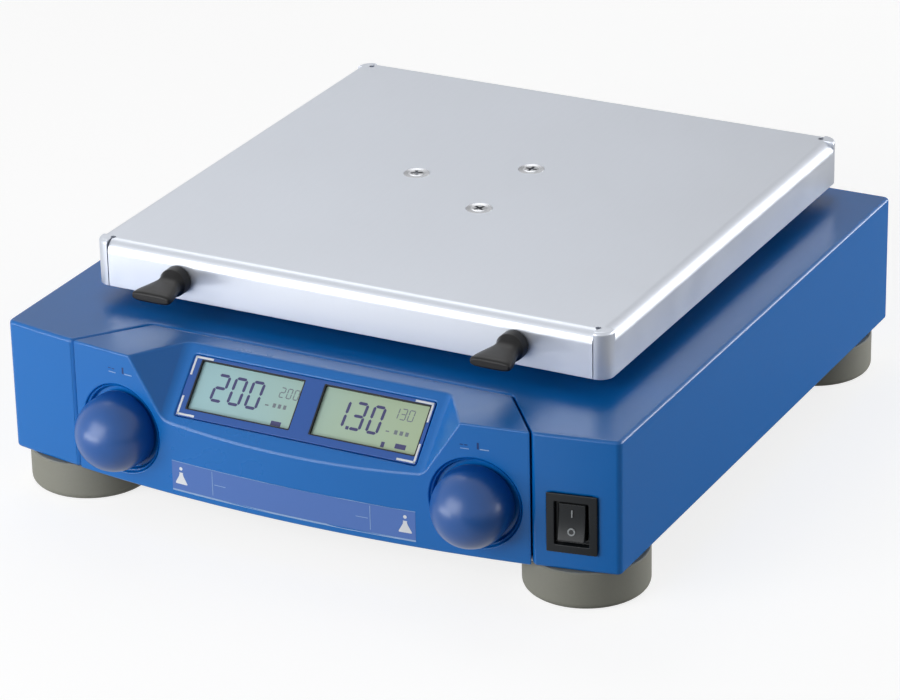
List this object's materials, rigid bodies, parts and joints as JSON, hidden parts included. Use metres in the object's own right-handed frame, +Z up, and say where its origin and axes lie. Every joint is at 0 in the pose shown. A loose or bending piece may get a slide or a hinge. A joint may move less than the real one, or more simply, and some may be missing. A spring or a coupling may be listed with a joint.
{
  "type": "laboratory orbital shaker",
  "caption": "Bench-top orbital shaker: a square metal tray moves in a small circle above a blue housing with a slanted display panel, push-and-turn knobs, a rocker switch and rubber feet.",
  "frame": {"origin": "on the surface that the feet stand on, under the middle of the object's bounding box", "axes": "+Z up, -Y out of the front panel towards the user, +X to the user's right"},
  "size_m": [0.2724, 0.3029, 0.098],
  "materials": {
    "blue_paint": "satin blue paint",
    "blue_plastic": "satin blue moulding",
    "knob_plastic": "smooth dark blue moulding",
    "tray_steel": "satin",
    "bright_steel": "bright",
    "sheet_steel": "plated",
    "cast_alloy": "as cast and turned",
    "supply_case": "plain sheet",
    "copper_winding": "enamelled wire",
    "foot_rubber": "matt grey",
    "belt_rubber": "matt black",
    "black_plastic": "satin black",
    "white_plastic": "natural white",
    "window_tint": "printed violet-blue film",
    "display_glass": "reflective liquid-crystal cell",
    "board_green": "solder resist"
  },
  "bodies": {
    "housing": {"housing_cover": "blue_paint", "front_panel": "blue_plastic", "base_plate": "sheet_steel", "foot_front_left": "foot_rubber", "foot_front_right": "foot_rubber", "foot_rear_left": "foot_rubber", "foot_rear_right": "foot_rubber", "foot_screw_front_left": "bright_steel", "foot_screw_front_right": "bright_steel", "foot_screw_rear_left": "bright_steel", "foot_screw_rear_right": "bright_steel", "display_window": "window_tint", "left_display": "display_glass", "right_display": "display_glass", "display_board": "board_green", "left_encoder": "black_plastic", "right_encoder": "black_plastic", "switch_housing": "black_plastic", "bearing_block": "cast_alloy", "lower_crank_bearing": "bright_steel", "upper_crank_bearing": "bright_steel", "idler_post_rear": "cast_alloy", "idler_post_left": "cast_alloy", "idler_post_right": "cast_alloy", "motor_case": "sheet_steel", "motor_stator": "copper_winding", "drive_belt": "belt_rubber", "power_supply": "supply_case", "control_board": "board_green", "mains_inlet": "black_plastic", "fuse_drawer": "black_plastic", "serial_socket": "sheet_steel"},
    "crank": {"crank_shaft": "bright_steel", "crank_pulley": "cast_alloy", "counterweight": "sheet_steel"},
    "tray": {"tray": "tray_steel", "tray_screw_right_rear": "bright_steel", "tray_screw_left": "bright_steel", "tray_screw_right_front": "bright_steel", "tray_column": "cast_alloy", "swing_plate": "cast_alloy", "hub_bearing": "bright_steel", "left_thumb_nut": "bright_steel", "right_thumb_nut": "bright_steel"},
    "idler_rear": {"idler_crank_rear": "bright_steel"},
    "idler_left": {"idler_crank_left": "bright_steel"},
    "idler_right": {"idler_crank_right": "bright_steel"},
    "motor": {"motor_rotor": "bright_steel", "motor_pulley": "cast_alloy"},
    "left_push": {"left_encoder_plunger": "white_plastic"},
    "right_push": {"right_encoder_plunger": "white_plastic"},
    "left_dial": {"left_knob_shaft": "bright_steel", "left_knob": "knob_plastic"},
    "right_dial": {"right_knob_shaft": "bright_steel", "right_knob": "knob_plastic"},
    "rocker": {"switch_rocker": "black_plastic"},
    "left_pad": {"left_thumb_pad": "white_plastic"},
    "right_pad": {"right_thumb_pad": "white_plastic"},
    "left_thumb": {"left_thumb_screw": "black_plastic"},
    "right_thumb": {"right_thumb_screw": "black_plastic"}
  },
  "joints": [
    {"name": "crank_turn", "type": "hinge", "parent": "housing", "child": "crank", "pos_m": [0, 0.02874, 0.04], "axis": [0, 0, 1], "continuous": true},
    {"name": "tray_orbit", "type": "hinge", "parent": "crank", "child": "tray", "pos_m": [-0.002, 0.02874, 0.057], "axis": [0, 0, 1], "continuous": true},
    {"name": "idler_rear_turn", "type": "hinge", "parent": "housing", "child": "idler_rear", "pos_m": [0, 0.11074, 0.04], "axis": [0, 0, 1], "continuous": true},
    {"name": "idler_left_turn", "type": "hinge", "parent": "housing", "child": "idler_left", "pos_m": [-0.07101, -0.01226, 0.04], "axis": [0, 0, 1], "continuous": true},
    {"name": "idler_right_turn", "type": "hinge", "parent": "housing", "child": "idler_right", "pos_m": [0.07101, -0.01226, 0.04], "axis": [0, 0, 1], "continuous": true},
    {"name": "motor_turn", "type": "hinge", "parent": "housing", "child": "motor", "pos_m": [-0.07361, 0.07124, 0.03], "axis": [0, 0, 1], "continuous": true},
    {"name": "left_knob_push", "type": "slide", "parent": "housing", "child": "left_push", "axis": [0.1192, 0.9929, 0], "range_m": [0, 0.0006], "stiffness_N_per_m": 1500},
    {"name": "right_knob_push", "type": "slide", "parent": "housing", "child": "right_push", "axis": [-0.1192, 0.9929, 0], "range_m": [0, 0.0006], "stiffness_N_per_m": 1500},
    {"name": "left_knob_turn", "type": "hinge", "parent": "left_push", "child": "left_dial", "pos_m": [-0.0784, -0.13137, 0.0392], "axis": [-0.1192, -0.9929, 0], "continuous": true},
    {"name": "right_knob_turn", "type": "hinge", "parent": "right_push", "child": "right_dial", "pos_m": [0.0784, -0.13137, 0.0392], "axis": [0.1192, -0.9929, 0], "continuous": true},
    {"name": "switch_rock", "type": "hinge", "parent": "housing", "child": "rocker", "pos_m": [0.11604, -0.1231, 0.0362], "axis": [0.9842, 0.1771, 0], "range_deg": [0, 20]},
    {"name": "left_pad_slide", "type": "slide", "parent": "tray", "child": "left_pad", "axis": [0, -1, 0], "range_m": [0, 0.002]},
    {"name": "right_pad_slide", "type": "slide", "parent": "tray", "child": "right_pad", "axis": [0, -1, 0], "range_m": [0, 0.002]},
    {"name": "left_screw_turn", "type": "hinge", "parent": "left_pad", "child": "left_thumb", "pos_m": [-0.0748, -0.08786, 0.0874], "axis": [0, -1, 0], "range_deg": [0, 720]},
    {"name": "right_screw_turn", "type": "hinge", "parent": "right_pad", "child": "right_thumb", "pos_m": [0.0748, -0.08786, 0.0874], "axis": [0, -1, 0], "range_deg": [0, 720]}
  ],
  "couplings": [
    {"joint": "tray_orbit", "follows": "crank_turn", "ratio": -1},
    {"joint": "idler_rear_turn", "follows": "crank_turn", "ratio": 1},
    {"joint": "idler_left_turn", "follows": "crank_turn", "ratio": 1},
    {"joint": "idler_right_turn", "follows": "crank_turn", "ratio": 1},
    {"joint": "motor_turn", "follows": "crank_turn", "ratio": 3},
    {"joint": "left_screw_turn", "follows": "left_pad_slide", "rad_per_m": 6283.2},
    {"joint": "right_screw_turn", "follows": "right_pad_slide", "rad_per_m": 6283.2}
  ]
}
